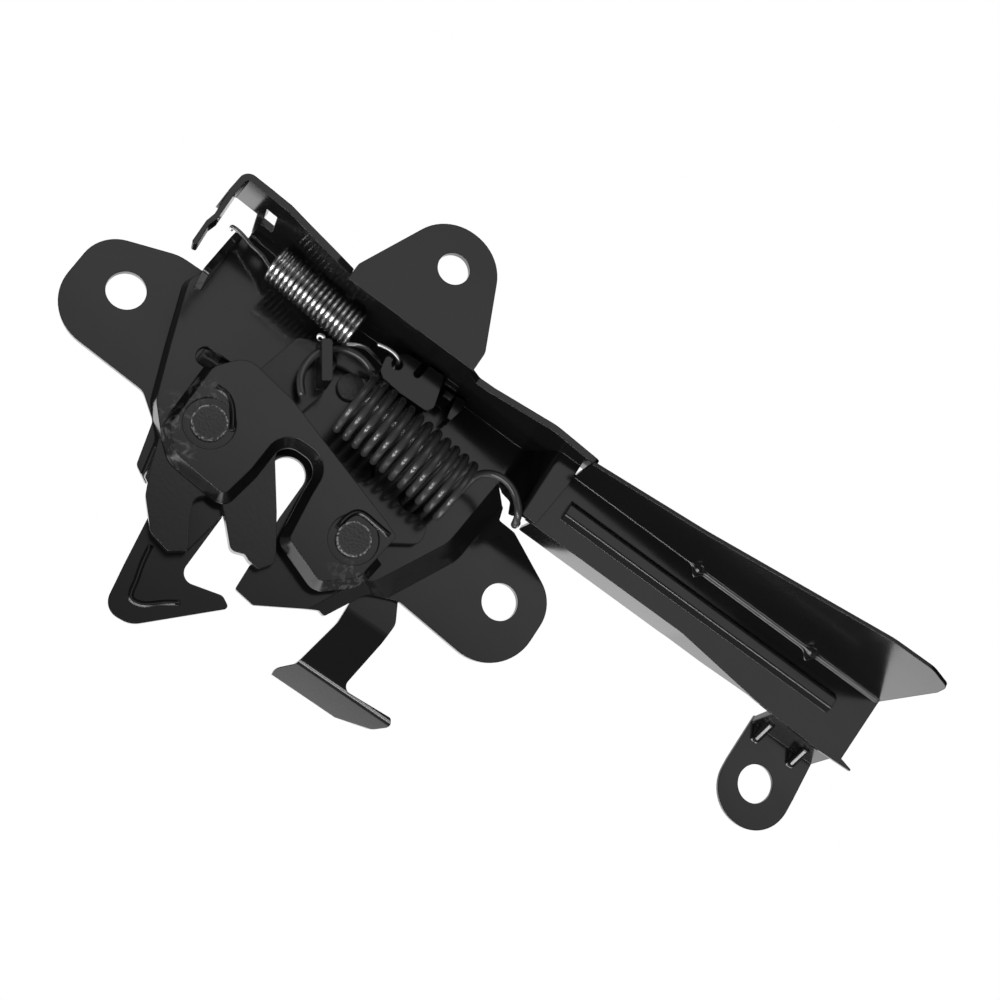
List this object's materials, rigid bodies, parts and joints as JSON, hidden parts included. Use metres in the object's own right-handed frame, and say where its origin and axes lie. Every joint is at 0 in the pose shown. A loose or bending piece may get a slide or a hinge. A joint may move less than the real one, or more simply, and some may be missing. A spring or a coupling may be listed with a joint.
{
  "type": "bonnet latch",
  "caption": "Pressed-steel vehicle bonnet latch with fork claw, pawl, safety hook, return springs and a long ribbed shield arm",
  "frame": {"origin": "centre of the round end of the striker slot, on the front face of the base plate", "axes": "+Z out of the slot mouth, the way the striker leaves; +X along the plate away from the shield arm; -Y to the front, where the springs are"},
  "size_m": [0.2366, 0.0655, 0.1238],
  "materials": {
    "black_coat": "glossy black electrocoat on pressed steel",
    "claw_coat": "satin black coat on thick blanked steel, a little greasy",
    "rivet_steel": "black coat on upset rivet heads, rubbed",
    "spring_black": "oiled black spring wire",
    "spring_bright": "bright drawn spring wire"
  },
  "bodies": {
    "base": {"base_plate": "black_coat", "shield_arm": "black_coat", "front_plate": "black_coat", "claw_pivot": "rivet_steel", "pawl_pivot": "rivet_steel", "safety_pivot": "rivet_steel", "safety_washer": "rivet_steel", "claw_spring": "spring_black", "pawl_spring": "spring_bright", "safety_spring": "spring_black"},
    "claw": {"claw": "claw_coat"},
    "pawl": {"pawl": "black_coat"},
    "safety_lever": {"safety_lever": "black_coat"}
  },
  "joints": [
    {"name": "claw_turn", "type": "hinge", "parent": "base", "child": "claw", "pos_m": [0.0223, -0.0025, 0.0026], "axis": [0, -1, 0], "range_deg": [0, 53], "stiffness_Nm_per_rad": 0.5, "springref_deg": -22.92, "deforming": ["claw_spring"]},
    {"name": "pawl_turn", "type": "hinge", "parent": "base", "child": "pawl", "pos_m": [-0.0222, -0.002, 0.0056], "axis": [0, 1, 0], "range_deg": [-7, 9], "stiffness_Nm_per_rad": 0.3, "deforming": ["pawl_spring"]},
    {"name": "safety_turn", "type": "hinge", "parent": "base", "child": "safety_lever", "pos_m": [0, 0.0033, -0.028], "axis": [0, 1, 0], "range_deg": [0, 12], "stiffness_Nm_per_rad": 0.6, "springref_deg": -17.19, "deforming": ["safety_spring"]}
  ]
}
